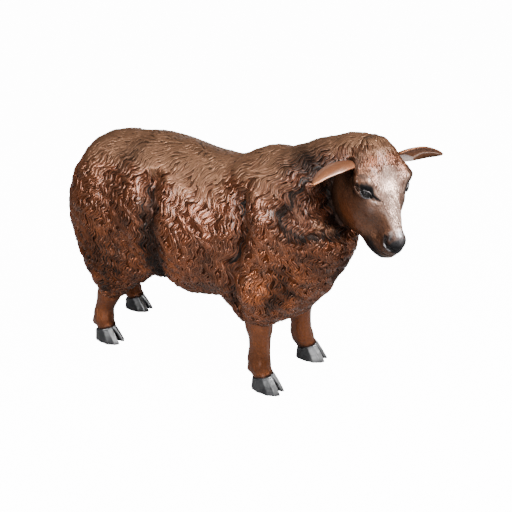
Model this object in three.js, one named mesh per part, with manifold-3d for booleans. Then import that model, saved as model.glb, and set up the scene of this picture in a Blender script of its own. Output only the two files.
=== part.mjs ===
// A life-size cast bronze sheep, standing with its head lowered and turned to its right.
// Millimetres, +X to the sheep's front, +Y to its left, +Z up, soles on the floor.
//
// The forms are built up as a sculptor builds clay: named masses (ellipsoids and tapered limbs) flow into
// each other, and a mesh is laid over each group of masses. The fleece is one such group, parted along
// curved knife cuts into trunk, neck, tail and four upper legs. The bare head and shanks are groups of
// their own, set into sockets in the fleece.
import * as THREE from "three";
import { mergeVertices } from "three/addons/utils/BufferGeometryUtils.js";
import Module from "manifold-3d";

const wasm = await Module();
wasm.setup();

// ---- Driving dimensions ----
const GAP = 0.5; // between neighbouring castings
const TRACK = 116; // from the middle plane to the middle of a foot
const FLEECE_CELL = 40; // mesh size over the fleece
const FLEECE_BLEND = 60; // how softly the fleece's masses flow into each other
const TAIL_BLEND = 26;
const LEG_BLEND = 16;
const HEAD_BLEND = 26;
const FLEECE_BOX = { low: [-600, -280, 90], high: [680, 280, 900] }; // room for the fleece's mesh

// Where each foot stands: x is the middle of the sole.
const FEET = {
  front_right: { x: 258, side: -1, front: true },
  front_left: { x: 303, side: 1, front: true },
  hind_right: { x: -362, side: -1, front: false },
  hind_left: { x: -410, side: 1, front: false },
};
const TOES_OUT = 3; // degrees

// The head's own axes: origin between the brows, +X down the face to the nose, +Y left, +Z out of the forehead.
const HEAD = { at: [569, -50, 711], turn: -33.5, droop: 50, roll: -1.5 };

const EAR = {
  root: [-73, 75, -20], // where its middle line leaves the head
  along: { right: [-0.1, -1, 0.13], left: [-0.13, 1, 0.08] },
  back: { right: [-0.8, 0, 0.6], left: [-1, 0, -0.28] }, // the way its back faces
  length: 146,
  half: 30, // half its greatest width
  cup: 17,
  thick: 7,
  droop: { right: [57, 0, -3], left: [38, 0, 0] }, // how far its tip hangs from the straight line
};

const EYE = { radius: 18, at: (side) => [9, side * 59, -22] };

// A hoof is two claws: half their spacing and how it narrows at the toes, their half-widths to the cleft and to the outside, and the
// height of the coronet at the heel with its slope to the front.
const HOOF = { length: 102, spread: 19.5, converge: 7, inner: 16.5, outer: 18, heel: 37, rise: 0.3 };
const DEWCLAW = { front: -55, hind: -49, y: 15, z: 68, radii: [12, 9, 15] };

const FACE_OPENING = { centre: [10, 0, -60], radii: [105, 260, 125] };
const NECK_CUT = { distance: 683, slope: 40.5 }; // the plane from the withers to the throat

const rad = THREE.MathUtils.degToRad;

// ---- Masses: signed distances in millimetres, negative inside ----
const ellipsoid = ([cx, cy, cz], [rx, ry, rz], lean = 0) => {
  const c = Math.cos(rad(lean));
  const s = Math.sin(rad(lean));
  return (x, y, z) => {
    const dx = x - cx;
    const dz = z - cz;
    const u = (dx * c - dz * s) / rx;
    const v = (y - cy) / ry;
    const w = (dx * s + dz * c) / rz;
    const k = Math.hypot(u, v, w);
    const g = Math.hypot(u / rx, v / ry, w / rz);
    return g > 0 ? (k * (k - 1)) / g : -Math.min(rx, ry, rz);
  };
};

const limb = (a, b, ra, rb, flat = 1) => {
  const [ax, ay, az] = a;
  const [bx, by, bz] = [b[0] - ax, b[1] - ay, b[2] - az];
  const length2 = bx * bx + by * by + bz * bz;
  return (x, y, z) => {
    const [px, py, pz] = [x - ax, y - ay, z - az];
    const t = THREE.MathUtils.clamp((px * bx + py * by + pz * bz) / length2, 0, 1);
    return Math.hypot(px - t * bx, (py - t * by) / flat, pz - t * bz) - (ra + (rb - ra) * t);
  };
};

// The union of some masses, filleted where they meet.
const flow = (blend, masses) => (x, y, z) => {
  let d = Infinity;
  for (const mass of masses) {
    const e = mass(x, y, z);
    const h = Math.max(blend - Math.abs(d - e), 0) / blend;
    d = Math.min(d, e) - (Number.isFinite(d) ? (h * h * blend) / 4 : 0);
  }
  return d;
};

const pair = (make) => [make(-1), make(1)]; // the right one, then the left one

// ---- Meshing ----
const gradient = (field, p) => {
  const h = 0.5;
  const g = new THREE.Vector3(
    field(p.x + h, p.y, p.z) - field(p.x - h, p.y, p.z),
    field(p.x, p.y + h, p.z) - field(p.x, p.y - h, p.z),
    field(p.x, p.y, p.z + h) - field(p.x, p.y, p.z - h),
  );
  return g.divideScalar(2 * h);
};

// Moves a point onto the surface in a few small steps.
const settle = (field, p, steps, most) => {
  for (let i = 0; i < steps; i++) {
    const g = gradient(field, p);
    const far = field(p.x, p.y, p.z) / Math.max(g.lengthSq(), 0.2);
    p.addScaledVector(g, -THREE.MathUtils.clamp(far, -most, most));
  }
};

const geometryOf = (points, triangles) => {
  const flat = new Float32Array(points.flatMap((p) => [p.x, p.y, p.z]));
  return new THREE.BufferGeometry()
    .setAttribute("position", new THREE.BufferAttribute(flat, 3))
    .setIndex(triangles.flat());
};

// Two triangles for a quad, cut along its shorter diagonal.
const quad = (points, [a, b, c, d]) =>
  points[a].distanceTo(points[c]) < points[b].distanceTo(points[d])
    ? [
        [a, b, c],
        [a, c, d],
      ]
    : [
        [a, b, d],
        [b, c, d],
      ];

// A mesh over a group of masses of any shape: one point in each grid cell that the surface crosses.
const cloak = (field, low, high, cell) => {
  const count = low.map((l, i) => Math.ceil((high[i] - l) / cell) + 1);
  const [nx, ny, nz] = count;
  const at = (i, j, k) => (k * ny + j) * nx + i;
  const value = new Float64Array(nx * ny * nz);
  for (let k = 0; k < nz; k++)
    for (let j = 0; j < ny; j++)
      for (let i = 0; i < nx; i++)
        value[at(i, j, k)] = field(low[0] + i * cell, low[1] + j * cell, low[2] + k * cell);
  const points = [];
  const cellPoint = new Map();
  const corners = [0, 1, 2, 3, 4, 5, 6, 7].map((n) => [n & 1, (n >> 1) & 1, (n >> 2) & 1]);
  for (let k = 0; k < nz - 1; k++)
    for (let j = 0; j < ny - 1; j++)
      for (let i = 0; i < nx - 1; i++) {
        const inside = corners.map(([a, b, c]) => value[at(i + a, j + b, k + c)] < 0);
        if (inside.every((v) => v === inside[0])) continue;
        const sum = new THREE.Vector3();
        let crossings = 0;
        corners.forEach((from, n) =>
          [1, 2, 4].forEach((bit, axis) => {
            if (n & bit || inside[n] === inside[n | bit]) return;
            const v0 = value[at(i + from[0], j + from[1], k + from[2])];
            const to = corners[n | bit];
            const v1 = value[at(i + to[0], j + to[1], k + to[2])];
            const hit = new THREE.Vector3(...from);
            hit.setComponent(axis, v0 / (v0 - v1));
            sum.add(hit);
            crossings++;
          }),
        );
        const p = sum.divideScalar(crossings).add(new THREE.Vector3(i, j, k));
        p.multiplyScalar(cell).add(new THREE.Vector3(...low));
        settle(field, p, 3, cell / 4);
        cellPoint.set(at(i, j, k), points.push(p) - 1);
      }
  const triangles = [];
  const around = [
    [at(0, 1, 0), at(0, 0, 1)],
    [at(0, 0, 1), at(1, 0, 0)],
    [at(1, 0, 0), at(0, 1, 0)],
  ];
  for (let k = 1; k < nz - 1; k++)
    for (let j = 1; j < ny - 1; j++)
      for (let i = 1; i < nx - 1; i++) {
        const here = at(i, j, k);
        [at(1, 0, 0), at(0, 1, 0), at(0, 0, 1)].forEach((step, axis) => {
          const out = value[here + step] >= 0;
          if (value[here] < 0 !== out) return;
          const [u, v] = around[axis];
          const ring = [here - u - v, here - v, here, here - u].map((c) => cellPoint.get(c));
          triangles.push(...quad(points, out ? ring : ring.reverse()));
        });
      }
  return geometryOf(points, triangles);
};

// Triangles between rings of points that follow each other in one list.
const sleeve = (points, count, sides) => {
  const triangles = [];
  for (let i = 0; i < count - 1; i++)
    for (let j = 0; j < sides; j++) {
      const next = (j + 1) % sides;
      const ring = [i * sides + j, i * sides + next, (i + 1) * sides + next, (i + 1) * sides + j];
      triangles.push(...quad(points, ring));
    }
  return triangles;
};

// A mesh whose rings lie round a spine and are let out until they meet the masses' surface.
// The spine runs near a plane of constant y. Its ends close in a dome of `dome` rings.
const wrap = (field, spine, { rings, sides, dome, grow = 0 }) => {
  const line = new THREE.CatmullRomCurve3(spine.map((p) => new THREE.Vector3(...p)));
  const stations = [];
  for (let i = 1; i <= dome; i++) stations.push([0, (-Math.PI / 2) * (1 - i / (dome + 1))]);
  for (let i = 0; i <= rings; i++) stations.push([i / rings, 0]);
  for (let i = 1; i <= dome; i++) stations.push([1, ((Math.PI / 2) * i) / (dome + 1)]);
  const shoot = (from, to) => {
    const p = new THREE.Vector3();
    const far = (t) => {
      p.copy(from).addScaledVector(to, t);
      return field(p.x, p.y, p.z) - grow;
    };
    let inner = 0;
    let outer = 4;
    while (far(outer) < 0) {
      inner = outer;
      outer += 4;
    }
    for (let i = 0; i < 20; i++) {
      const middle = (inner + outer) / 2;
      if (far(middle) < 0) inner = middle;
      else outer = middle;
    }
    return from.clone().addScaledVector(to, inner);
  };
  const frame = (t) => {
    const along = line.getTangent(t);
    const side = new THREE.Vector3(0, 1, 0).addScaledVector(along, -along.y).normalize();
    return [line.getPoint(t), along, side, along.clone().cross(side)];
  };
  const points = [];
  for (const [t, tip] of stations) {
    const [from, along, side, up] = frame(t);
    for (let j = 0; j < sides; j++) {
      const turn = (2 * Math.PI * j) / sides;
      const to = side.clone().multiplyScalar(Math.cos(turn)).addScaledVector(up, Math.sin(turn));
      to.multiplyScalar(Math.cos(tip)).addScaledVector(along, Math.sin(tip));
      points.push(shoot(from, to));
    }
  }
  const triangles = sleeve(points, stations.length, sides);
  const last = (stations.length - 1) * sides;
  const [start, end] = [
    [0, -1],
    [1, 1],
  ].map(([t, sign]) => {
    const [from, along] = frame(t);
    return points.push(shoot(from, along.multiplyScalar(sign))) - 1;
  });
  for (let j = 0; j < sides; j++) {
    const next = (j + 1) % sides;
    triangles.push([start, next, j], [end, last + j, last + next]);
  }
  return geometryOf(points, triangles);
};

// A mesh through given rings of points. Each end is closed by strips from side to side of its ring,
// so a ring may be a crescent.
const loft = (rings) => {
  const points = rings.flat();
  const sides = rings[0].length;
  const triangles = sleeve(points, rings.length, sides);
  const last = (rings.length - 1) * sides;
  for (let j = 0; j < sides / 2 - 1; j++) {
    const strip = [j, j + 1, sides - 2 - j, sides - 1 - j];
    triangles.push(...quad(points, strip.map((k) => k + last)), ...quad(points, strip.reverse()));
  }
  return geometryOf(points, triangles);
};

// ---- Joining and cutting ----
const solid = (geometry, matrix = new THREE.Matrix4()) => {
  const g = geometry.clone().applyMatrix4(matrix);
  g.deleteAttribute("normal");
  g.deleteAttribute("uv");
  const merged = mergeVertices(g, 1e-3);
  const mesh = new wasm.Mesh({
    numProp: 3,
    vertProperties: new Float32Array(merged.attributes.position.array),
    triVerts: new Uint32Array(merged.index.array),
  });
  return new wasm.Manifold(mesh);
};

const backToGeometry = (made) => {
  const mesh = made.getMesh();
  return new THREE.BufferGeometry()
    .setAttribute("position", new THREE.BufferAttribute(mesh.vertProperties, 3))
    .setIndex(new THREE.BufferAttribute(mesh.triVerts, 1));
};

// ---- The fleece ----
const fleeceMasses = [
  ellipsoid([-20, 0, 482], [300, 194, 223]), // ribs
  ...pair((s) => ellipsoid([0, s * 62, 440], [222, 130, 173])), // belly
  ellipsoid([-195, 0, 530], [238, 186, 204]), // loin
  ellipsoid([-345, 0, 515], [141, 180, 201]), // rump
  ellipsoid([216, 0, 530], [174, 160, 208]), // withers
  ellipsoid([292, 0, 445], [146, 150, 178]), // chest
  ellipsoid([254, 0, 342], [100, 120, 110]), // brisket
  ...pair((s) => ellipsoid([-340, s * 100, 430], [125, 88, 190], -10)), // haunches
  ...pair((s) => ellipsoid([-262, s * 92, 320], [84, 70, 80])), // flank folds
  ...pair((s) => ellipsoid([222, s * 98, 430], [122, 86, 190])), // shoulders
  ...Object.values(FEET).map(({ x, side, front }) =>
    front
      ? limb([x * 0.6 + 56, side * 106, 350], [x - 48, side * (TRACK - 10), 286], 90, 59) // forearm
      : limb([x * 0.6 - 106, side * 104, 320], [x + 20, side * (TRACK - 14), 218], 90, 58), // thigh
  ),
  limb([306, 0, 586], [368, 4, 670], 179, 108), // neck
  ellipsoid([440, 0, 738], [80, 72, 68]), // nape
  ellipsoid([486, -8, 752], [62, 58, 62]), // the wool behind the poll
  ellipsoid([368, -10, 498], [104, 100, 88]), // throat
];
const TAIL_SPINE = [
  [-398, 12, 650],
  [-462, 14, 600],
  [-486, 12, 470],
];
const tailMass = flow(TAIL_BLEND, [
  limb(TAIL_SPINE[0], TAIL_SPINE[1], 33, 41),
  limb(TAIL_SPINE[1], TAIL_SPINE[2], 42, 31),
]);
const bodyField = flow(FLEECE_BLEND, fleeceMasses);
const fleeceField = flow(TAIL_BLEND, [bodyField, tailMass]);

// ---- The head, in its own axes ----
const headMasses = [
  ellipsoid([-54, 0, -62], [82, 60, 74]), // skull
  ellipsoid([-72, 0, -8], [70, 58, 40], 8), // woolly forehead
  ...pair((s) => ellipsoid([-14, s * 64, -9], [34, 34, 24])), // brow
  ...pair((s) => ellipsoid([-68, s * 58, -26], [30, 27, 26])), // root of the ear
  ...pair((s) => ellipsoid([26, s * 44, -42], [38, 22, 30])), // cheekbone
  ...pair((s) => ellipsoid([-20, s * 42, -110], [102, 36, 80], 2)), // cheek
  limb([20, 0, -46], [130, 0, -56], 53, 31, 0.84), // face
  limb([8, 0, -118], [110, 0, -112], 66, 45, 0.93), // lower jaw
  ellipsoid([148, 0, -62], [24, 21, 30]), // nose
  ...pair((s) => ellipsoid([147, s * 12, -74], [18, 13, 20])), // nostril wings
  ellipsoid([142, 0, -104], [33, 27, 28]), // lips and chin
];
const headField = flow(HEAD_BLEND, headMasses);
const headSpine = [
  [-72, 0, -62],
  [-15, 0, -78],
  [65, 0, -78],
  [124, 0, -78],
];
const headShape = (grow) => wrap(headField, headSpine, { rings: 12, sides: 20, dome: 3, grow });

// An ear is a cupped leaf: it starts as a narrow trough and opens out, then draws in to a blunt tip.
const ear = (name, side, grow) => {
  const along = new THREE.Vector3(...EAR.along[name]).normalize();
  const droop = new THREE.Vector3(...EAR.droop[name]);
  const rings = [];
  for (let i = 0; i <= 9; i++) {
    const t = i / 9;
    const tangent = along.clone().multiplyScalar(EAR.length).addScaledVector(droop, 2 * t).normalize();
    const back = new THREE.Vector3(...EAR.back[name]);
    back.addScaledVector(tangent, -back.dot(tangent)).normalize();
    const wide = tangent.clone().cross(back).multiplyScalar(side);
    const leaf = (0.62 + 0.38 * Math.sin(Math.PI * Math.min(1, t * 1.2))) * Math.sqrt(1.02 - t ** 4.5);
    const half = EAR.half * leaf + grow;
    const cup = EAR.cup * (1 - 0.55 * t) * (half / EAR.half);
    const wall = (EAR.thick / 2) * (1 - 0.45 * t) + grow;
    const middle = new THREE.Vector3(EAR.root[0], side * EAR.root[1], EAR.root[2])
      .addScaledVector(along, EAR.length * t + grow * ((i === 9) - (i === 0)))
      .addScaledVector(droop, t * t);
    const at = (a, face) =>
      middle
        .clone()
        .addScaledVector(wide, half * a)
        .addScaledVector(back, cup * (0.5 - a * a) + face * wall * (1 - 0.5 * a * a));
    const ring = [
      ...[-1, -0.5, 0, 0.5, 1].map((a) => at(a, 1)),
      ...[0.95, 0.45, 0, -0.45, -0.95].map((a) => at(a, -1)),
    ];
    rings.push(side > 0 ? ring : ring.reverse());
  }
  return loft(rings);
};

// ---- Legs: each is drawn for a foot whose sole is centred on x = 0, y = 0, with +y to the middle plane ----
const FRONT_SHANK = {
  masses: [
    limb([-54, 20, 300], [-49, 17, 215], 46, 40), // forearm
    ellipsoid([-40, 18, 198], [38, 36, 30]), // knee
    limb([-41, 18, 190], [-38, 11, 110], 34, 32), // cannon
    ellipsoid([-38, 5, 84], [37, 35, 26]), // fetlock
    limb([-38, 5, 80], [-18, 0, 44], 31, 30), // pastern
  ],
  spine: [
    [-50, 20, 280],
    [-43, 18, 180],
    [-38, 5, 90],
    [-16, 0, 36],
  ],
};
const HIND_SHANK = {
  masses: [
    limb([12, 25, 240], [-5, 20, 170], 44, 38), // hock
    limb([-5, 20, 180], [-26, 10, 110], 34, 31), // cannon
    ellipsoid([-28, 4, 84], [36, 34, 26]), // fetlock
    limb([-27, 3, 80], [-12, 0, 44], 29, 29), // pastern
  ],
  spine: [
    [8, 23, 215],
    [-12, 16, 150],
    [-28, 4, 90],
    [-12, 0, 36],
  ],
};

// The coronet, where horn meets skin, is a slope from `heel` up to the front.
const coronet = (x) => HOOF.heel + (x + HOOF.length / 2) * HOOF.rise;

const claw = (side) => {
  const rings = [];
  for (const up of [0, 0.5, 1]) {
    const ring = [];
    for (let j = 0; j < 10; j++) {
      const a = (2 * Math.PI * j) / 10;
      const [front, across] = [Math.cos(a), Math.sin(a)];
      const reach = HOOF.length / 2 - 19 * up;
      const x = front * reach - 17 * up;
      const taper = 1 - 0.26 * (1 - 0.5 * up) * Math.max(0, front) ** 3;
      const half = (across * side < 0 ? HOOF.inner : HOOF.outer) * (1 - 0.05 * up);
      const y = side * (HOOF.spread - 6 * up - HOOF.converge * Math.max(0, front) ** 2) + across * taper * half;
      ring.push(new THREE.Vector3(x, y, up * coronet(x)));
    }
    rings.push(ring);
  }
  return loft(rings);
};

// ---- Assembly ----
const bronze = (color, roughness) => new THREE.MeshStandardMaterial({ color, roughness, metalness: 0.8 });
const finish = {
  fleece: bronze(0x5a2e1c, 0.45),
  hide: bronze(0x6b3a22, 0.4),
  ear: bronze(0x8a4d2c, 0.4),
  hoof: bronze(0x33302f, 0.3),
  eye: bronze(0x15110f, 0.15),
};
const cast = (parent, name, made, material) => {
  const mesh = new THREE.Mesh(backToGeometry(made), material.clone());
  mesh.name = name;
  parent.add(mesh);
};

const sheep = new THREE.Group();
let wool = solid(cloak(fleeceField, FLEECE_BOX.low, FLEECE_BOX.high, FLEECE_CELL));

// The head, with its ears and eyes. The wool stops round the face along an oval, seen from the side,
// and stands proud of the cheeks.
const headGroup = new THREE.Group();
headGroup.position.set(...HEAD.at);
headGroup.rotation.set(rad(HEAD.roll), rad(HEAD.droop), rad(HEAD.turn), "ZYX");
headGroup.updateMatrix();
sheep.add(headGroup);
const faceOpening = new THREE.SphereGeometry(1, 24, 16)
  .scale(...FACE_OPENING.radii)
  .translate(...FACE_OPENING.centre);
for (const cutter of [headShape(GAP), faceOpening]) wool = wool.subtract(solid(cutter, headGroup.matrix));
let head = solid(headShape(0));
for (const [name, side] of [
  ["right", -1],
  ["left", 1],
]) {
  const ball = (grow) => solid(new THREE.SphereGeometry(EYE.radius + grow, 12, 8).translate(...EYE.at(side)));
  head = head.subtract(ball(GAP)).subtract(solid(ear(name, side, GAP)));
  wool = wool.subtract(solid(ear(name, side, GAP), headGroup.matrix));
  cast(headGroup, `ear_${name}`, solid(ear(name, side, 0)), finish.ear);
  cast(headGroup, `eye_${name}`, ball(0), finish.eye);
}
cast(headGroup, "head", head, finish.hide);

// The bare shanks and the hooves, and the sockets that the shanks leave in the wool.
for (const [name, foot] of Object.entries(FEET)) {
  const leg = new THREE.Group();
  leg.position.set(foot.x, foot.side * TRACK, 0);
  leg.rotation.z = rad(foot.side * TOES_OUT);
  leg.updateMatrix();
  sheep.add(leg);
  const { masses, spine } = foot.front ? FRONT_SHANK : HIND_SHANK;
  const legField = flow(LEG_BLEND, masses);
  const turned = (x, y, z) => legField(x, -foot.side * y, z);
  const turnedSpine = spine.map(([x, y, z]) => [x, -foot.side * y, z]);
  const shape = (grow) => wrap(turned, turnedSpine, { rings: 8, sides: 10, dome: 1, grow });
  const belowCoronet = new THREE.BoxGeometry(400, 400, 300)
    .translate(0, 0, -150)
    .rotateY(-Math.atan(HOOF.rise))
    .translate(0, 0, coronet(0) + GAP);
  let shank = solid(shape(0)).subtract(solid(belowCoronet));
  for (const y of [-DEWCLAW.y, DEWCLAW.y]) {
    const horn = new THREE.SphereGeometry(1, 7, 5).scale(...DEWCLAW.radii);
    shank = shank.add(solid(horn.translate(foot.front ? DEWCLAW.front : DEWCLAW.hind, y, DEWCLAW.z)));
  }
  wool = wool.subtract(solid(shape(GAP), leg.matrix));
  cast(leg, `shank_${name}`, shank, finish.hide);
  cast(leg, `hoof_${name}`, solid(claw(1)).add(solid(claw(-1))), finish.hoof);
}

// The fleece is parted into its pieces by knives that leave a cut GAP wide.
const part = (name, knife) => {
  cast(sheep, name, wool.intersect(solid(knife(0))), finish.fleece);
  wool = wool.subtract(solid(knife(GAP)));
};
for (const [name, { x, side, front }] of Object.entries(FEET)) {
  const top = front ? [232, side * 152, 430] : [-350, side * 152, 440];
  const bottom = front ? [x - 38, side * 112, 270] : [x + 14, side * 108, 190];
  const wide = front ? 132 : 146;
  const region = limb(top, bottom, wide, wide - 24, 0.78);
  const knife = (grow) => wrap(region, [top, bottom], { rings: 3, sides: 12, dome: 3, grow });
  part(name.replace(/front|hind/, front ? "forearm" : "thigh"), knife);
}
part("tail", (grow) => wrap(tailMass, TAIL_SPINE, { rings: 5, sides: 10, dome: 2, grow: grow + 12 }));
part("neck", (grow) =>
  new THREE.BoxGeometry(1000, 800, 3000)
    .translate(NECK_CUT.distance - grow + 500, 0, 0)
    .rotateY(rad(-NECK_CUT.slope)),
);
cast(sheep, "trunk", wool, finish.fleece);

// The row's origin is on the floor, under the middle of the whole.
const middle = new THREE.Box3().setFromObject(sheep, true).getCenter(new THREE.Vector3());
sheep.position.set(-middle.x, -middle.y, 0);

export default sheep;
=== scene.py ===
"""A life-size cast bronze sheep with a wavy fleece in relief, in brown and black patina.

The skin is one casting under the fleece, modelled like clay from the frame's solids. The fleece is
laid over it lock by lock, and the eyeballs and hooves are castings of their own.
"""

import itertools
import math

import bpy
import numpy as np
from mathutils import Matrix, Vector
from mathutils.bvhtree import BVHTree


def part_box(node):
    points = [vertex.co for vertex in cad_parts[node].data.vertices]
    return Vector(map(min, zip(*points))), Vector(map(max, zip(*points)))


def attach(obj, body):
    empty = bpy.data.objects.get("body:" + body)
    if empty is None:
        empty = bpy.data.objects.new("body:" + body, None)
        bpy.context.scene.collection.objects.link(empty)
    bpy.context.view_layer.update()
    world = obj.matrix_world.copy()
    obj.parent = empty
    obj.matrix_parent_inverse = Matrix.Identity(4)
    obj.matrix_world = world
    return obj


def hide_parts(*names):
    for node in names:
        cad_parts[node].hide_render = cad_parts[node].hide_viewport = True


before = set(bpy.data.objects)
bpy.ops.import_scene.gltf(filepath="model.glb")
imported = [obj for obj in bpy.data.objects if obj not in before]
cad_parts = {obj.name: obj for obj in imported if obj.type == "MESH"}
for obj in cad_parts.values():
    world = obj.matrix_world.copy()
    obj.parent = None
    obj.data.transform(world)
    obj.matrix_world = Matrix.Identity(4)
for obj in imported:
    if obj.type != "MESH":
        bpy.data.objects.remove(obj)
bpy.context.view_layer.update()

bl_info = {
    "name": "Bronze sheep",
    "version": (1, 0, 0),
    "blender": (4, 5, 0),
    "location": "View3D > Sidebar > Bronze sheep",
    "description": "Models a life-size cast bronze sheep around its packed solids",
    "category": "Object",
}

WOOL_NODES = ("trunk", "neck", "tail", "thigh_left", "thigh_right", "forearm_left", "forearm_right")
SHANK_NODES = ("shank_front_left", "shank_front_right", "shank_hind_left", "shank_hind_right")
EAR_NODES = ("ear_left", "ear_right")
EYE_NODES = ("eye_left", "eye_right")
HOOF_NODES = ("hoof_front_left", "hoof_front_right", "hoof_hind_left", "hoof_hind_right")

MM = 0.001

# The head's own axes, as the solids have them: x down the face, y to its left, z out of the forehead.
HEAD_TURN = math.radians(-33.5)
HEAD_DROOP = math.radians(50)
HEAD_ROLL = math.radians(-1.5)
EYE_RADIUS = 0.018
EYE_LINE = Vector((0.009, 0.0, -0.022))  # midway between the eyeballs, in the head's axes


# ---- Where things are, from the frame ----

def middle_of(node):
    low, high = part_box(node)
    return (low + high) / 2


HEAD_AXES = (
    Matrix.Rotation(HEAD_TURN, 3, "Z")
    @ Matrix.Rotation(HEAD_DROOP, 3, "Y")
    @ Matrix.Rotation(HEAD_ROLL, 3, "X")
)
HEAD_PLACE = (middle_of("eye_left") + middle_of("eye_right")) / 2 - HEAD_AXES @ EYE_LINE
EYE_SIDE = (middle_of("eye_left") - middle_of("eye_right")).length / 2 / MM


def in_head(points):
    """Points in the head's axes, in millimetres."""
    return (points - np.array(HEAD_PLACE)) @ np.array(HEAD_AXES) / MM


def from_head(vectors):
    """Directions in the head's axes, turned to the row's."""
    return np.asarray(vectors) @ np.array(HEAD_AXES).T


# ---- Small numeric tools ----
# In the head's axes, points are called q, and m where the right half is mirrored onto the left.

def ramp(low, high, value):
    """0 below low, 1 above high, and a smooth rise between."""
    t = np.clip((value - low) / (high - low), 0, 1)
    return t * t * (3 - 2 * t)


def bell(gap, width, power=2):
    """1 where the gap is none, fading out over the width. A higher power has steeper sides."""
    return np.exp(-((gap / width) ** power))


def blot(points, centre, radii):
    """1 at the centre, fading out over the radii."""
    return np.exp(-(((points - centre) / radii) ** 2).sum(axis=1))


def stroke(points, path, width, power=2):
    """1 along a line of straight stretches, fading out over the width."""
    return bell(off_path(points, path)[0], width, power)


def unit(vectors):
    return vectors / np.maximum(np.linalg.norm(vectors, axis=-1, keepdims=True), 1e-12)


def mirrored(q):
    """Points with their right half brought over to the left."""
    return np.column_stack((q[:, 0], np.abs(q[:, 1]), q[:, 2]))


def ripple(points, wavelength, seed, waves=7):
    """Smooth noise in space, about -1 to 1, from a few plane waves."""
    rng = np.random.default_rng(seed)
    heading = unit(rng.normal(size=(waves, 3)))
    pitch = 2 * math.pi / (wavelength * rng.uniform(0.7, 1.5, waves))
    phase = rng.uniform(0, 2 * math.pi, waves)
    return np.sin(points @ (heading * pitch[:, None]).T + phase).sum(axis=-1) * math.sqrt(2 / waves) / 1.6


def off_path(points, path):
    """Each point's distance from a line of straight stretches, and how far along the line it is, 0 to 1."""
    path = np.asarray(path, float)
    best = np.full(len(points), np.inf)
    along = np.zeros(len(points))
    for i, (a, b) in enumerate(zip(path[:-1], path[1:])):
        t = np.clip((points - a) @ (b - a) / ((b - a) @ (b - a)), 0, 1)
        d = np.linalg.norm(points - a - t[:, None] * (b - a), axis=1)
        near = d < best
        best[near] = d[near]
        along[near] = (i + t[near]) / (len(path) - 1)
    return best, along


# ---- Modelling ----

def only(*objects):
    bpy.ops.object.select_all(action="DESELECT")
    for o in objects:
        o.select_set(True)
    bpy.context.view_layer.objects.active = objects[0]


def put(name, data, place=(0, 0, 0), turn=(0, 0, 0)):
    """A new object in the scene."""
    new = bpy.data.objects.new(name, data)
    new.location, new.rotation_euler = place, turn
    bpy.context.scene.collection.objects.link(new)
    return new


def numbers(items, name, width=3, kind=float):
    """What a mesh's items hold under a name, as an array with a row for each."""
    held = np.empty(len(items) * width, kind)
    items.foreach_get(name, held)
    return held.reshape(-1, width)


def copy_nodes(nodes, name, swell=0.0):
    """One mesh of some solids, with their loose triangles merged."""
    copies = [put(name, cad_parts[node].data.copy()) for node in nodes]
    only(*copies)
    if len(copies) > 1:
        bpy.ops.object.join()
    piece = bpy.context.object
    bpy.ops.object.mode_set(mode="EDIT")
    bpy.ops.mesh.select_all(action="SELECT")
    bpy.ops.mesh.remove_doubles(threshold=0.00001)
    if swell:
        bpy.ops.transform.shrink_fatten(value=swell)
    bpy.ops.object.mode_set(mode="OBJECT")
    piece.data.materials.clear()
    return piece


def finish_modifier(piece, kind, **settings):
    only(piece)
    modifier = piece.modifiers.new(kind.title(), kind)
    for key, value in settings.items():
        setattr(modifier, key, value)
    bpy.ops.object.modifier_apply(modifier=modifier.name)


def split_faces(piece, chosen):
    """Cuts each face whose middle `chosen` picks into four."""
    only(piece)
    picked = chosen(numbers(piece.data.polygons, "center"))
    bpy.ops.object.mode_set(mode="EDIT")
    bpy.ops.mesh.select_all(action="DESELECT")
    bpy.ops.mesh.select_mode(type="FACE")
    bpy.ops.object.mode_set(mode="OBJECT")
    piece.data.polygons.foreach_set("select", picked)
    bpy.ops.object.mode_set(mode="EDIT")
    bpy.ops.mesh.subdivide(number_cuts=1)
    bpy.ops.object.mode_set(mode="OBJECT")


class Clay:
    """A mesh's vertices as arrays, to be pushed, pulled and smoothed."""

    def __init__(self, piece):
        self.mesh = piece.data
        self.at = numbers(self.mesh.vertices, "co")
        self.ends = numbers(self.mesh.edges, "vertices", 2, int)
        self.count = np.maximum(np.bincount(self.ends.ravel(), minlength=len(self.at)), 1)

    def around(self, values):
        """Each vertex's mean of its neighbours' values."""
        a, b = self.ends.T
        size = len(self.at)
        columns = values.reshape(size, -1).T
        total = [np.bincount(a, c[b], size) + np.bincount(b, c[a], size) for c in columns]
        return (np.array(total) / self.count).T.reshape(values.shape)

    def spread(self, values, rounds):
        for _ in range(rounds):
            values = (values + self.around(values)) / 2
        return values

    def smooth(self, rounds, weight=1.0):
        """Evens out bumps, but keeps the bulk: each inward round is followed by an outward one."""
        weight = np.broadcast_to(weight, len(self.at))[:, None]
        for _ in range(rounds):
            for push in (0.5, -0.52):
                self.at += push * weight * (self.around(self.at) - self.at)

    def normals(self):
        self.leave()
        return numbers(self.mesh.vertices, "normal")

    def press(self, metres):
        """Pushes each vertex out along its normal."""
        self.at += self.normals() * metres[:, None]

    def sunk(self, rounds):
        """How far each vertex lies below the evened-out surface, in metres."""
        return ((self.spread(self.at, rounds) - self.at) * self.normals()).sum(axis=1)

    def leave(self):
        self.mesh.vertices.foreach_set("co", self.at.ravel())
        self.mesh.update()


def mark(mesh, **marks):
    """Keeps numbers for each vertex, under names that the materials read."""
    for name, values in marks.items():
        layer = mesh.attributes.new(name, "FLOAT", "POINT")
        layer.data.foreach_set("value", np.asarray(values, np.float32))


def tree_of(nodes):
    piece = copy_nodes(nodes, "measure")
    mesh = piece.data
    tree = BVHTree.FromPolygons([v.co for v in mesh.vertices], [p.vertices for p in mesh.polygons])
    bpy.data.objects.remove(piece)
    return tree


def gaps_to(tree, points):
    return np.array([tree.find_nearest(p)[3] for p in points.tolist()])


# ---- The skin ----

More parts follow.
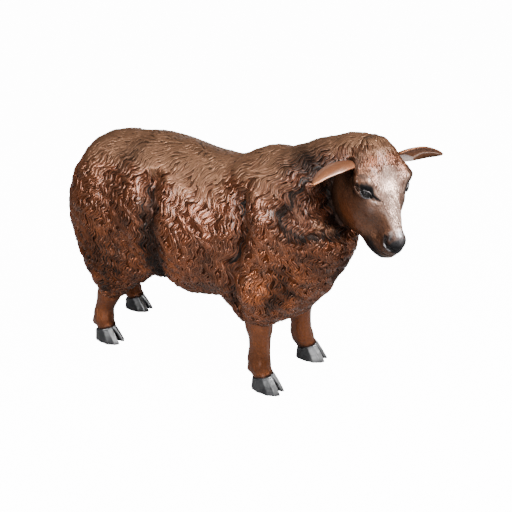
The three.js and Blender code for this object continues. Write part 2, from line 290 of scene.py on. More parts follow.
BODY_VOXEL = 0.0065
HEAD_MIDDLE, HEAD_RADII = (20, 0, -55), np.array((165, 88, 112))
FINE_EYE, FINE_NOSE = ((15, 66, -14), 34), ((158, 0, -72), 44)  # middle and reach of the finest faces


def head_reach(points, margin=0):
    """Whether points lie on the bare head or the woolly poll, or within a margin in millimetres."""
    return (((in_head(points) - HEAD_MIDDLE) / (HEAD_RADII + margin)) ** 2).sum(axis=1) < 1


def eye_frame(side):
    """The eye's axis, the way from its outer to its inner corner, and up across the lids."""
    axis = unit(np.array((0.56, side * 0.66, 0.50)))
    inward = np.array((0.80, -side * 0.55, 0.16))
    inward = unit(inward - axis * (inward @ axis))
    upward = np.cross(inward, axis) * side
    return axis, inward, upward * np.sign(upward[2])


LID_OPENING = {"half_width": 60, "upper": 19, "lower": 21}  # degrees about the eyeball's middle


def lid_gap(q, side):
    """How many millimetres points lie outside the almond opening of the lids, and their vectors and
    distances from the eye's middle."""
    axis, inward, upward = eye_frame(side)
    middle = np.array((EYE_LINE.x / MM, side * EYE_SIDE, EYE_LINE.z / MM))
    to = q - middle
    reach = np.linalg.norm(to, axis=1)
    front = np.maximum(to @ axis, 0.05 * reach)
    across = np.degrees(np.arctan2(to @ inward, front))
    up = np.degrees(np.arctan2(to @ upward, front))
    half = np.where(up > 0, LID_OPENING["upper"], LID_OPENING["lower"])
    share = across / LID_OPENING["half_width"]
    # The upper lid arches towards the inner corner, the lower one towards the outer.
    skew = 1 + 0.28 * np.where(up > 0, share, -share)
    arch = half * np.maximum(1 - np.abs(share) ** 2.2, 0) * skew
    beyond = np.maximum(np.abs(across) - LID_OPENING["half_width"], 0)
    out = np.where(beyond > 0, np.hypot(beyond, np.abs(up)), np.abs(up) - arch)
    out = np.where((to @ axis) < 0, 90, out)
    return out * math.pi / 180 * (EYE_RADIUS / MM), to, reach


def sculpt_eyes(clay):
    """Lids round each eyeball, open in an almond, with a fold above, a bag below and a tear groove."""
    ball = EYE_RADIUS / MM
    for side in (-1, 1):
        q = in_head(clay.at)
        out, to, reach = lid_gap(q, side)
        near = (reach < 46) & (out < 60)
        lid = ball + 2.6 - 0.09 * np.clip(out - 3, 0, 12)
        rim = ball - 2.5 + (lid - ball + 2.5) * ramp(-0.7, 0.9, out)
        hold = 1 - ramp(4, 13, out)
        target = reach + (rim - reach) * hold
        moved = to * (target / np.maximum(reach, 1e-6))[:, None] - to
        clay.at += from_head(np.where(near[:, None], moved, 0)) * MM
        fold = -1.3 * bell(out - 6.6, 1.3) + 0.9 * bell(out - 10, 2.2)
        clay.press(np.where(near, fold, 0) * MM)


TEAR_GROOVE = ((30, 55, -16), (42, 48, -16), (51, 43, -17))
OUTER_CORNER = ((4, 70, -38), (-9, 76, -50))
TEMPLE = ((-7, 88, -12), (-37, 85, -12), (-64, 80, -18))  # from the eye's outer corner to the ear
NOSTRIL = ((131, 31, -50), (140, 33, -54), (150, 31, -56), (159, 26, -55), (166, 18, -54))
MOUTH = ((181, 0, -76), (175, 13, -78), (165, 26, -87), (150, 33, -93), (136, 36, -96))
FACE_CREST = ((42, 60, -48), (70, 50, -58), (100, 40, -64))
LIP_PARTING = ((170, 0, -44), (180, 0, -76))
JAW_EDGE = ((-20, 60, -170), (30, 55, -165), (75, 40, -150), (110, 30, -132))


def sculpt_face(clay):
    """The folds and hollows of the bare head, in millimetres along its normals."""
    m = mirrored(in_head(clay.at))
    bare = 1 - ramp(-60, -20, -m[:, 0])  # fades out towards the poll

    def swell(centre, radii, height):
        return height * blot(m, centre, radii)

    def trench(path, width, depth, fade=0.0):
        gap, along = off_path(m, path)
        return -depth * (1 - fade * along) * bell(gap, width)

    shape = (
        swell((8, 68, -1), (24, 15, 12), 3.5)  # brow
        + swell((40, 30, -6), (22, 10, 12), -2.2)  # beside the root of the nose
        + swell((30, 0, 2), (34, 13, 20), 1.6)  # forehead
        + swell((110, 20, -40), (30, 9, 14), -1.5)  # along the nose bone
        + swell((80, 44, -84), (26, 14, 18), -2.6)  # hollow of the cheek
        + swell((10, 66, -110), (44, 20, 44), 2.2)  # jaw muscle
        + swell((150, 32, -64), (14, 8, 6), 2.6)  # lower wing of the nostril
        + swell((148, 26, -44), (13, 8, 6), 2.2)  # upper wing of the nostril
        + swell((166, 0, -44), (10, 9, 12), 1.6)  # pad of the nose
        + swell((156, 24, -76), (18, 12, 7), 2.0)  # upper lip
        + swell((150, 12, -118), (18, 18, 12), 1.5)  # chin
        + trench(FACE_CREST, 5, -2.0)
        + trench(TEAR_GROOVE, 3.0, 0.7, fade=0.8)
        + trench(JAW_EDGE, 9, 1.5)
        + trench(OUTER_CORNER, 3.0, 2.0)
    )
    mouth = trench(MOUTH, 2.4, 2.8, fade=0.8)
    nostril = trench(NOSTRIL, 3.1, 6.5, fade=0.35)
    for depth in (shape * bare, mouth, nostril, trench(LIP_PARTING, 1.8, 1.6)):
        clay.press(depth * MM)
    sculpt_eyes(clay)


# The ears in the head's axes and millimetres, as the solids have them. Each middle line droops from straight.
EAR_ROOT, EAR_LENGTH, EAR_HALF = (-73, 75, -20), 146, 30
EARS = {
    "ear_right": {"side": -1, "along": (-0.1, -1, 0.13), "droop": (57, 0, -3), "back": (-0.8, 0, 0.6)},
    "ear_left": {"side": 1, "along": (-0.13, 1, 0.08), "droop": (38, 0, 0), "back": (-1, 0, -0.28)},
}
# Along the ear, and across it there: the line where the upper rim folds over the hollow.
EAR_FOLD = ((0, 0.2, 0.42, 0.6, 0.8, 1), (0.15, -0.1, -0.6, -0.1, 0.15, 0.2))


def ear_places(q, node):
    """How far along the ear points are, 0 to 1, how far across it, -1 to 1 at the front edge, and the way
    that its back faces there."""
    ear = EARS[node]
    along, droop = unit(np.array(ear["along"])), np.array(ear["droop"])
    root = np.array(EAR_ROOT) * (1, ear["side"], 1)
    t = np.clip((q - root) @ along / EAR_LENGTH, 0, 1)[:, None]
    middle = root + along * EAR_LENGTH * t + droop * t * t
    tangent = unit(along * EAR_LENGTH + 2 * t * droop)
    back = unit(np.array(ear["back"]) - tangent * (tangent @ ear["back"])[:, None])
    wide = np.cross(tangent, back) * ear["side"]
    leaf = (0.62 + 0.38 * np.sin(math.pi * np.minimum(1, 1.2 * t))) * np.sqrt(1.02 - t**4.5)
    across = ((q - middle) * wide).sum(axis=1) / (EAR_HALF * leaf[:, 0])
    return t[:, 0], np.clip(across, -1, 1), back


def make_ear(node):
    """An ear: the leaf rounded out, with a fold and a hollow inside, painted highlights on its rims and fold,
    and painted shade in the hollow.
    """
    ear = copy_nodes((node,), node + "_cast")
    finish_modifier(ear, "SUBSURF", levels=3, render_levels=3)
    clay = Clay(ear)
    along, across, back = ear_places(in_head(clay.at), node)
    facing = (clay.normals() @ np.array(HEAD_AXES) * back).sum(axis=1)
    inner = ramp(0.15, -0.4, facing)
    turned_over = np.interp(along, *EAR_FOLD)
    hollow = inner * ramp(turned_over + 0.06, turned_over - 0.06, across)
    fold = bell(across - turned_over, 0.13) * inner
    clay.press((1.7 + (1.6 * fold - 1.4 * hollow) * np.sin(along * math.pi)) * MM)
    clay.leave()
    if node == "ear_left":  # pale hair at the root, a painted highlight along the fold, and painted shade deepening into the lobe's hollow
        tuft = hollow * ramp(0.44, 0.40, along)
        inside = 0.5 * inner
        rub = np.maximum(bell(across - turned_over, 0.12) * inner * ramp(0.38, 0.45, along) * 0.9, tuft)
        dark = hollow * (ramp(0.40, 0.44, along) * (0.2 + 0.65 * ramp(0.2, 0.8, turned_over - across)))
    else:  # painted shade in the hollow, and painted highlights along both rims
        tuft = np.zeros(len(along))
        inside = hollow
        low_rim_highlight = ramp(0.6, 1, across) * ramp(0.2, 0.5, along) * 0.55
        rub = np.maximum(low_rim_highlight, ramp(-0.85, -1, across) * 0.2)
        dark = hollow * 0.85
    mark(ear.data, ear=np.ones(len(along)), inside=inside, rub=rub, silver=tuft * 0.5, dark=dark)
    return ear


# Folds of the heavy fleece, in metres on the right side: before the haunch, and behind the shoulder.
HAUNCH_FOLD = (
    (-0.180, 0.150, 0.641), (-0.174, 0.184, 0.572), (-0.186, 0.199, 0.506), (-0.172, 0.200, 0.445),
    (-0.180, 0.171, 0.355), (-0.170, 0.100, 0.290),
)
SHOULDER_FOLD = (
    (0.112, 0.146, 0.637), (0.129, 0.173, 0.581), (0.144, 0.182, 0.548), (0.122, 0.186, 0.494),
    (0.105, 0.191, 0.420), (0.102, 0.192, 0.366), (0.100, 0.150, 0.290),
)
LEFT_FOLD_SHIFT = {"haunch": -0.025, "shoulder": 0.025}  # the left feet stand further apart


def fold_gaps(points):
    """How far points lie from the haunch's fold and from the shoulder's, in metres."""
    m = mirrored(points)
    gaps = []
    for path, name in ((HAUNCH_FOLD, "haunch"), (SHOULDER_FOLD, "shoulder")):
        shift = np.where(points[:, 1] > 0, LEFT_FOLD_SHIFT[name], 0)
        gaps.append(off_path(m - np.column_stack((shift, shift * 0, shift * 0)), path)[0])
    return gaps


def sculpt_body(clay, wool):
    """Folds, and soft lumps where the fleece hangs in clumps, in metres along the normals."""
    haunch, shoulder = fold_gaps(clay.at)
    fold = 0.024 * bell(haunch, 0.028) + 0.026 * bell(shoulder, 0.020)
    beside = 0.004 * bell(haunch - 0.055, 0.03) + 0.003 * bell(shoulder - 0.05, 0.03)
    x, y, z = clay.at.T
    low = ramp(0.50, 0.32, z)
    clump = (
        0.011 * blot(clay.at, (0.440, 0.048, 0.798), 0.045)  # poll
        + 0.016 * blot(clay.at, (0.412, -0.005, 0.535), 0.03)  # throat
        + 0.018 * np.exp(-(((x - 0.20) / 0.07) ** 2) - (y / 0.09) ** 2) * ramp(0.34, 0.28, z)  # keel
        + ripple(clay.at, 0.085, 3) * (0.0016 + 0.0018 * low)
        + ripple(clay.at, 0.04, 4) * (0.0006 + 0.001 * low)
    )
    off_head = 1 - ramp(0.34, 0.40, x)
    clay.press((clump + (beside - fold) * off_head) * wool)
    clay.leave()


NECK_CREST = ((0.150, 0.750), (0.210, 0.760), (0.260, 0.772))  # x and z along the middle


def fill_crest(clay):
    """Rounds out the hollow where the neck's wool runs up to the poll, and fills the crest before the
    withers."""
    for _ in range(3):
        q = in_head(clay.at)
        nape = ramp(-240, -200, q[:, 0]) * ramp(-10, -60, q[:, 0]) * ramp(-90, -40, q[:, 2])
        clay.press(np.clip(clay.sunk(50), 0, 0.02) * nape)
    crest = np.column_stack((clay.at[:, 0], clay.at[:, 2]))
    share = stroke(crest, NECK_CREST, 0.045) * ramp(0.1, 0.5, clay.normals()[:, 2])
    clay.press(0.006 * share)


CORONET = 37  # the height of the horn's top at the heel, in millimetres


def over_coronet(points, node):
    """How far above a hoof's coronet the points of its own leg are, in millimetres."""
    local = (points - np.array(middle_of(node))) / MM
    coronet = CORONET + 0.3 * (local[:, 0] + 51)
    return np.where(np.hypot(local[:, 0], local[:, 1]) < 75, points[:, 2] / MM - coronet, 1000)


def make_skin(settings):
    """The skin, its vertices as clay, and how woolly each is."""
    flesh = ("head",) + WOOL_NODES + SHANK_NODES + EYE_NODES
    skin = copy_nodes(flesh, "skin", swell=0.0004)
    finish_modifier(skin, "REMESH", mode="VOXEL", voxel_size=BODY_VOXEL, adaptivity=0)
    wool_tree = tree_of(WOOL_NODES)
    bare_tree = tree_of(("head",) + SHANK_NODES + EYE_NODES)

    def woolly(points):
        """1 on the fleece, 0 on bare face and shanks."""
        return ramp(-0.001, 0.006, gaps_to(bare_tree, points) - gaps_to(wool_tree, points))

    clay = Clay(skin)
    wool = clay.spread(woolly(clay.at), 2)
    clay.smooth(26, wool)
    clay.smooth(5, 1 - wool)
    shanks = (1 - wool) * ramp(0.33, 0.28, clay.at[:, 2])
    clay.press(0.0016 * shanks)
    flat = ramp(0.3, 0.8, clay.normals()[:, 2]) * ramp(0.5, 0.62, clay.at[:, 2])  # where the coat lies flat
    thin = flat * (0.8 - 0.5 * ramp(0.24, 0.30, clay.at[:, 0]))
    clay.press(-wool * settings.coat_depth * (1 - thin))
    fill_crest(clay)
    sculpt_body(clay, wool)

    def on_shank(points):
        return (points[:, 2] < 0.30) & (woolly(points) < 0.5)

    split_faces(skin, lambda p: head_reach(p, 8) | on_shank(p))
    split_faces(skin, head_reach)

    def fine(points):
        q = in_head(points)
        eye = np.linalg.norm(mirrored(q) - FINE_EYE[0], axis=1) < FINE_EYE[1]
        return eye | (np.linalg.norm(q - FINE_NOSE[0], axis=1) < FINE_NOSE[1])

    clay = Clay(skin)
    head = head_reach(clay.at).astype(float)
    clay.smooth(6, head)
    for node in HOOF_NODES:  # the skin flares over the top of the horn
        forward = (clay.at[:, 0] - middle_of(node)[0]) / MM
        flare = ramp(15, 1, over_coronet(clay.at, node)) * (1.8 + 4.5 * ramp(-10, 15, forward))
        clay.at += clay.normals() * (1, 1, 0) * (flare * MM)[:, None]
    clay.leave()
    split_faces(skin, fine)
    clay = Clay(skin)
    clay.smooth(4, head_reach(clay.at).astype(float))
    wool = clay.spread(woolly(clay.at), 3)
    sculpt_face(clay)
    clay.leave()
    return skin, clay, wool


# ---- Where the coat and the colours lie ----

COAT_MARKS = ("matte_and_sheen", "warm", "dark", "rub", "silver")
NOSE_LINE = ((-30, 0, 15), (20, 0, 8), (80, 0, -12), (116, 0, -23))
NECK_STAIN = ((0.272, 0.085, 0.722), (0.293, 0.119, 0.633), (0.320, 0.129, 0.545), (0.342, 0.115, 0.464))
NOSTRIL_RIM = ((143, 34, -58), (151, 32, -61), (159, 28, -62), (166, 22, -61))
EAR_FOOT = (-70, 78, -22)


def poll_share(q):
    """1 over the poll and nape, in the head's axes and millimetres, and 0 down the neck and on the body."""
    return ramp(-190, -120, q[:, 0]) * ramp(-110, -40, q[:, 2])


def clear_of_ears(m):
    return ramp(20, 30, np.linalg.norm(m - EAR_FOOT, axis=1))


def poll_wool(q):
    """1 on the woolly poll, which thins out above the brows and ends before the ears."""
    m = mirrored(q)
    edge = -34 + 10 * np.cos(m[:, 1] / 22)
    forward = ramp(edge + 22, edge - 10, q[:, 0])
    high = ramp(-52, -38, q[:, 2] - 0.35 * (q[:, 0] + 60))
    return forward * high * clear_of_ears(m) * (q[:, 0] > -220) * (np.abs(q[:, 1]) < 120)


def face_fur(q, normals):
    """1 where fine strands cover the forehead, between the eyes and down the nose."""
    half = np.interp(q[:, 0], (-60, -15, 12, 45, 110), (74, 60, 46, 28, 15))
    ahead = ramp(142, 90, q[:, 0]) * (q[:, 0] > -120)
    upward = ramp(0.0, 0.3, normals @ HEAD_AXES.col[2])
    return ramp(half + 5, half - 5, np.abs(q[:, 1])) * ahead * upward * clear_of_ears(mirrored(q))


def skin_marks(clay, wool):
    """The coat's cover, the patina's patches and the painted highlights and shade, as numbers from 0 to 1 for
    each vertex of the skin.
    """
    q = in_head(clay.at)
    m = mirrored(q)
    normals = clay.normals()
    z = clay.at[:, 2]
    on_head = head_reach(clay.at, 10)
    fur = face_fur(q, normals) * on_head
    wool = np.maximum(wool, poll_wool(q))

    # Black patina gathers in the folds, round the face and in drifts on neck and chest; painted shade darkens
    # the hollows, the folds, the lower right haunch, the groove round the cheek, behind the ears and under
    # the brow.
    haunch, shoulder = fold_gaps(clay.at)
    low = ramp(0.66, 0.5, z)
    on_body = np.maximum.reduce((
        # painted shade in the hollows, where the skin lies below its evened-out surface
        ramp(2.5, 10, clay.sunk(60) / MM),
        # black patina and painted shade in the folds before the haunch and behind the shoulder
        1.25 * ramp(0.036 + 0.034 * low, 0.010, haunch),
        1.6 * bell(shoulder, 0.02),
        0.7 * ramp(0.35, 1.1, ripple(clay.at, 0.16, 22)) * ramp(0.62, 0.45, z),
        0.95 * blot(clay.at, (0.30, -0.06, 0.745), (0.09, 0.10, 0.05)),
        0.95 * 0.5 * stroke(np.abs(clay.at), NECK_STAIN, 0.045),
        # painted shade low on the right haunch
        0.8 * blot(clay.at, (-0.38, -0.19, 0.37), (0.12, 0.10, 0.10)),
    ))
    reach = np.hypot((q[:, 0] - 10) / 105, (q[:, 2] + 60) / 125)
    dark = np.maximum.reduce((
        np.clip(on_body, 0, 1) * np.where(on_head, wool * 0.25, 1),
        bell(reach - 1.04, 0.09) * ramp(30, 52, m[:, 1]) * ramp(0, -30, q[:, 2]),  # painted shade round the cheek, where the fleece meets the face
        0.7 * ramp(38, 62, m[:, 1]) * ramp(-66, -90, q[:, 0]) * on_head,  # painted shade behind the ears
        # painted shade under the brow, from the eye's outer corner to the ear
        0.95 * stroke(m, TEMPLE, 16, 4) * on_head,
        0.3 * ramp(-50, -100, q[:, 0]) * on_head,  # the poll
    ))

    warm = ramp(0.62, 0.36, z) * ramp(-0.5, 0.9, ripple(clay.at, 0.30, 21)) * 0.9
    breast = blot(np.abs(clay.at) * (clay.at[:, :1] > 0), (0.25, 0.16, 0.38), (0.13, 0.12, 0.12))
    warm = np.maximum(warm, 0.75 * breast)
    shank = 0.32 * ramp(0.32, 0.28, z) * (1 - wool)
    warm = np.where(on_head, blot(m, (30, 62, -118), (55, 30, 30)) * 0.25, np.maximum(warm * wool, shank))
    # Up-facing back and poll: a matte finish, with a lighter colour painted on as the sheen of light from
    # above
    matte_and_sheen = ramp(0.47, 0.9, normals[:, 2]) * ramp(0.5, 0.62, z)

    # The forehead and the nose are rubbed bright and painted with the highlight they catch from above; the
    # muzzle's end carries grey wear with a painted highlight, and the nostril rims and the lids' edges
    # painted highlights.
    beside, along = off_path(m, NOSE_LINE)
    rub = np.maximum(0.95 * blot(m, (6, 0, 6), (46, 46, 34)), bell(beside, 26 - 11 * along**3, 4))
    rub = rub * ramp(-78, -28, q[:, 0])
    # Grey wear with a painted highlight on the muzzle's end, painted highlight lines on the nostril rims, and
    # a grey worn patch under the eye's inner corner
    silver = np.maximum.reduce((
        0.65 * blot(m, (134, 0, -27), (18, 11, 16)),
        0.7 * stroke(m, NOSTRIL_RIM, 1.6),
        0.3 * blot(m, (46, 50, -38), (11, 8, 8)),  # under the inner corner of the eye
    ))

    pad = (((m - (166, 0, -43)) / (22, 38, 23)) ** 2).sum(axis=1)
    black = np.maximum.reduce((
        0.9 * stroke(m, TEAR_GROOVE, 4),
        stroke(m, NOSTRIL, 10, 4),
        0.9 * stroke(m, MOUTH, 3),
        stroke(m, OUTER_CORNER, 7, 4),
        ramp(1.3, 0.8, pad),
        blot(m, (138, 25, -40), (15, 10, 13)),
        0.95 * ramp(-88, -102, q[:, 2]) * ramp(90, 125, q[:, 0]),  # painted shade under the chin
    ))
    for side in (-1, 1):
        out, to, reach = lid_gap(q, side)
        above = ramp(-2, 3, to @ eye_frame(side)[2])
        near = reach < 44
        # black patina round the eye, reaching further above it as painted shade under the brow
        black = np.maximum(black, ramp(6 + 14 * above, 2 + 9 * above, out) * near)
        # painted highlights along the fold of the upper lid and the rim of the lower one
        lid_highlight = bell(out - 5.5, 0.8) * above + bell(out - 1.3, 0.6) * (1 - above)
        silver = np.maximum(silver, lid_highlight * near * 0.3)
    black = black * (1 - silver) * on_head * (1 - wool)
    for node in HOOF_NODES:
        black = np.maximum(black, 0.75 * ramp(16, 3, over_coronet(clay.at, node)))
    # The skin under the fleece, seen between the locks, is painted dark as shade, less so at the front of the
    # poll
    under = wool * np.where(on_head, 1 - 0.65 * ramp(-110, -50, q[:, 0]), 1)
    return {
        "wool": wool, "fur": fur, "under": under, "dark": dark, "warm": warm, "matte_and_sheen": matte_and_sheen * wool,
        "rub": rub * on_head, "silver": silver * on_head, "black": black,
    }


# ---- Materials ----

def sums(operation):
    """The two methods of a Wire for one operation: with the wire first, and with it second."""

    def first(wire, other):
        return wire.patina.make("ShaderNodeMath", {"operation": operation}, {0: wire, 1: other})

    def second(wire, other):
        return wire.patina.make("ShaderNodeMath", {"operation": operation}, {0: other, 1: wire})

    return first, second


class Wire:
    """A node's output that takes part in sums."""

    def __init__(self, patina, socket):
        self.patina = patina
        self.socket = socket

    __add__, __radd__ = sums("ADD")
    __sub__, __rsub__ = sums("SUBTRACT")
    __mul__, __rmul__ = sums("MULTIPLY")

    def limited(self):
        """The wire's value, kept between 0 and 1."""
        return self.patina.make("ShaderNodeClamp", {}, {"Value": self})


class Patina:
    """A bronze material, built up over one Principled shader."""

    def __init__(self, name, roughness, metallic, coat=0.0, shine=0.3):
        self.material = bpy.data.materials.new(name)
        self.material.use_nodes = True
        self.tree = self.material.node_tree
        self.shader = next(n for n in self.tree.nodes if n.type == "BSDF_PRINCIPLED")
        constants = {
            "Metallic": metallic, "Roughness": roughness, "Coat Weight": coat,
            "Coat Roughness": 0.2, "Specular IOR Level": shine,
        }
        for socket, value in constants.items():
            self.shader.inputs[socket].default_value = value

    def make(self, kind, settings, sockets, out=0):
        node = self.tree.nodes.new(kind)
        for key, value in settings.items():
            setattr(node, key, value)
        for key, value in sockets.items():
            if isinstance(value, Wire):
                self.tree.links.new(value.socket, node.inputs[key])
            else:
                node.inputs[key].default_value = value
        return Wire(self, node.outputs[out])

    def feed(self, socket, wire):
        self.tree.links.new(wire.socket, self.shader.inputs[socket])

    def read(self, name):
        """A number kept on the mesh."""
        return self.make("ShaderNodeAttribute", {"attribute_name": name}, {}, out="Fac")

    def place(self, scale=(1, 1, 1)):
        at = self.make("ShaderNodeTexCoord", {}, {}, out="Object")
        return self.make("ShaderNodeMapping", {}, {"Vector": at, "Scale": scale})

    def clouds(self, at, scale, detail=3, rough=0.55):
        sockets = {"Vector": at, "Scale": scale, "Detail": detail, "Roughness": rough}
        return self.make("ShaderNodeTexNoise", {}, sockets)

    def between(self, value, low, high):
        """value stretched so that low becomes 0 and high becomes 1, and no more."""
        sockets = {"Value": value, "From Min": low, "From Max": high}
        return self.make("ShaderNodeMapRange", {}, sockets)

    def blend(self, share, first, second):
        """The first colour, and the second where the share is 1."""
        return self.make("ShaderNodeMix", {"data_type": "RGBA"}, {0: share, 6: first, 7: second}, out=2)

    def emboss(self, height, distance, strength=1.0, under=None):
        sockets = {"Height": height, "Distance": distance, "Strength": strength}
        if under:
            sockets["Normal"] = under
        return self.make("ShaderNodeBump", {}, sockets)


RIDGE_HIGHLIGHT = 0.16  # how far the top of a lock is painted with a bright copper highlight


def coat_color(patina, colors):
    """The colours that the fleece and the skin under it share."""
    mottle = patina.between(patina.clouds(patina.place(), 30, 4, 0.65), 0.36, 0.66)
    color = patina.blend(mottle, colors.brown, colors.red)
    glow = patina.read("warm") * patina.between(mottle, 0.1, 0.8)
    color = patina.blend(glow.limited(), color, colors.orange)
    # the up-facing back and poll take the lighter colour of a painted sheen
    return patina.blend(patina.read("matte_and_sheen"), color, colors.matte_and_sheen)


def fleece_patina(colors):
    patina = Patina("fleece_patina", 0.34, 0.7, coat=0.5)
    crest, shade, rub, matte_and_sheen, dark = (patina.read(key) for key in ("crest", "shade", "rub", "matte_and_sheen", "dark"))
    strand = patina.make("ShaderNodeUVMap", {"uv_map": "strand"}, {})
    strand = patina.make("ShaderNodeMapping", {}, {"Vector": strand, "Scale": (2.2, 9, 1)})
    hair = patina.clouds(strand, 1.0, 2, 0.5)
    color = coat_color(patina, colors)
    color = patina.blend(patina.between(shade, 0.4, 1.6) * 0.5, color, colors.shadow)
    # the crests of the locks get a painted copper highlight
    color = patina.blend((patina.between(crest, 0.5, 1.0) * RIDGE_HIGHLIGHT).limited(), color, colors.copper)
    bare = 1 - 0.7 * patina.between(shade, 0.35, 0.9) * (1 - 0.6 * rub)
    # the strands on the forehead and nose are painted bright on their crests, as rubbed wear and highlight
    color = patina.blend(rub * patina.between(crest, 0.1, 0.8) * bare, color, colors.rubbed)
    color = patina.blend(patina.read("silver"), color, colors.silver)
    # The grooves between a lock's ridges darken, as black patina and painted shade; so do the marked stains
    # and the painted shade of hollows and folds
    groove = (1 - patina.between(crest, 0.05, 0.75)) * (0.92 - 0.12 * rub)
    color = patina.blend((groove + dark * 0.97).limited(), color, colors.shadow)
    patina.feed("Base Color", color)
    patina.feed("Roughness", 0.31 - 0.08 * crest + 0.12 * matte_and_sheen + 0.2 * dark)
    patina.feed("Coat Weight", (0.36 - 0.33 * matte_and_sheen) * (1 - 0.8 * dark))
    patina.feed("Normal", patina.emboss(hair, 0.0014, 0.5))
    return patina.material


HAIR_SIZE = (1 / 55, 1 / 320, 1 / 320)  # in metres: along the face, across it and out of it


def skin_patina(colors):
    patina = Patina("skin_patina", 0.36, 0.8, coat=0.35)
    # Fine hair, engraved along the face.
    sockets = {"Vector": patina.place(), "Rotation": HEAD_AXES.to_euler(), "Scale": HAIR_SIZE}
    along_face = patina.make("ShaderNodeMapping", {"vector_type": "TEXTURE"}, sockets)
    hair = patina.clouds(along_face, 1.0, 2, 0.5)
    streak = patina.between(hair, 0.40, 0.54)
    black, dark, rub = (patina.read(key) for key in ("black", "dark", "rub"))
    on_ear = patina.read("ear")
    wool = patina.between(patina.read("under"), 0.3, 0.7)
    # painted shade on the skin between the locks
    under_wool_shade = patina.blend(0.65, coat_color(patina, colors), colors.shadow)
    drift = patina.between(patina.clouds(patina.place((1, 1, 0.4)), 18, 4, 0.6), 0.35, 0.68)
    color = patina.blend((drift * 0.7 + streak * 0.5).limited(), colors.hide, colors.hide_warm)
    color = patina.blend(patina.read("warm"), color, colors.orange)
    ear = patina.blend(patina.read("inside"), colors.ear, colors.hide)
    color = patina.blend(on_ear, color, ear)
    color = patina.blend(wool, color, under_wool_shade)
    # rubbed wear and painted highlight, broken up by the hair's streaks
    worn = 0.6 + 0.6 * streak
    color = patina.blend((rub * worn).limited(), color, colors.rubbed)
    color = patina.blend(black, color, colors.black)
    color = patina.blend((patina.read("silver") * worn).limited(), color, colors.silver)
    # stains, and painted shade in hollows and folds
    color = patina.blend((dark * 0.9).limited(), color, colors.shadow)
    patina.feed("Base Color", color)
    cast_grain = patina.clouds(patina.place(), 260, 3, 0.6)
    patina.feed("Normal", patina.emboss(hair, 0.002, 0.9, patina.emboss(cast_grain, 0.0004, 0.3)))
    patina.feed("Roughness", 0.33 + 0.14 * drift + 0.2 * wool + 0.15 * black + 0.08 * rub)
    patina.feed("Coat Weight", (0.35 - 0.32 * black) * (1 - wool) * (1 - dark) * (1 - on_ear))
    return patina.material


def eye_patina(colors):
    patina = Patina("eye_patina", 0.12, 0.0, shine=0.15)
    speck = patina.between(patina.clouds(patina.place(), 300, 2), 0.4, 0.7)
    patina.feed("Base Color", patina.blend(speck, colors.black, colors.shadow))
    patina.feed("Roughness", 0.1 + 0.1 * speck)
    return patina.material


def hoof_patina(colors):
    patina = Patina("hoof_patina", 0.3, 0.75, coat=0.4)
    drift = patina.between(patina.clouds(patina.place((1, 1, 0.6)), 34, 3, 0.5), 0.35, 0.7)
    # worn: the painted highlight of the front faces, with a little random wear
    worn = (patina.read("rub") * (0.4 + 0.7 * drift) + 0.12 * drift).limited()
    grain = patina.clouds(patina.place((0.4, 0.4, 1)), 240, 2)
    patina.feed("Base Color", patina.blend(worn, colors.horn, colors.horn_worn_and_lit))
    patina.feed("Roughness", 0.40 - 0.12 * worn)
    patina.feed("Normal", patina.emboss(grain, 0.0004, 0.4))
    return patina.material


FLOOR_GLOW = 14.0
WALL_LIGHT = 0.12


def stage_surface():
    """A floor that looks white, and throws back less light than it seems to, as a far wall would."""
    patina = Patina("studio_floor", 0.9, 0.0)
    patina.shader.inputs["Base Color"].default_value = (0.25, 0.25, 0.25, 1)
    plain_floor = Wire(patina, patina.shader.outputs[0])
    bright = patina.make("ShaderNodeEmission", {}, {"Strength": FLOOR_GLOW})
    lit = patina.make("ShaderNodeAddShader", {}, {0: plain_floor, 1: bright})
    seen = patina.make("ShaderNodeLightPath", {}, {}, out="Is Camera Ray")
    floor = patina.make("ShaderNodeMixShader", {}, {0: seen, 1: plain_floor, 2: lit})
    output = next(n for n in patina.tree.nodes if n.type == "OUTPUT_MATERIAL")
    patina.tree.links.new(floor.socket, output.inputs["Surface"])
    return patina.material


# ---- The fleece, lock by lock ----

SEED = 11
RINGS = 10  # sections along a lock
ACROSS = np.array((1.0, 0.56, 0.06, -0.5, -1.0, 0.0))  # a lock's section: two ridges, and one point below
RISE = np.array((0.0, 0.82, 0.28, 1.0, 0.0, -0.5))
GROOVE = 2  # the point between the ridges
SIDES = len(RISE)
CROWD_ACROSS, CROWD_ALONG = 0.55, 0.43  # how near the next lock roots, in shares of a lock's width and length
CROWD_CELL = 0.022  # in metres, as far as any two locks can crowd each other
TRIED_PER_ROOT, ROOT_AREA = 4, 0.004 * 0.010
LOCK_PATCH = 0.003  # a lock's share of the bake map's side, about its root's place on the skin


